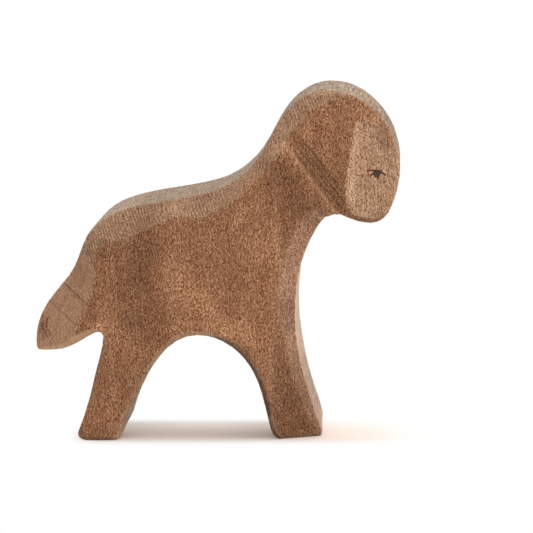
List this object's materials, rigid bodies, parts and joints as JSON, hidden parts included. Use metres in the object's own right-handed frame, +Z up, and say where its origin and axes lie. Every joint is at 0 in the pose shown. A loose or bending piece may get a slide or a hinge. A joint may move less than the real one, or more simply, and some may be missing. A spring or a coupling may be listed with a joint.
{
  "type": "wooden lamb figure",
  "caption": "Small standing lamb carved from a single piece of stained wood, with knife facets, an arch between the legs and painted eyes.",
  "frame": {"origin": "middle of the bounding box seen from above, on the surface that the feet stand on", "axes": "+X from the tail to the nose, +Y across the figure to its left flank, +Z up"},
  "size_m": [0.0628, 0.018, 0.06],
  "materials": {
    "stained_wood": "matt stain, sanded, fine vertical grain, paler on the worn arrises",
    "eye_paint": "thin brushed matt dark grey paint"
  },
  "bodies": {
    "root": {"lamb_body": "stained_wood"}
  },
  "joints": []
}
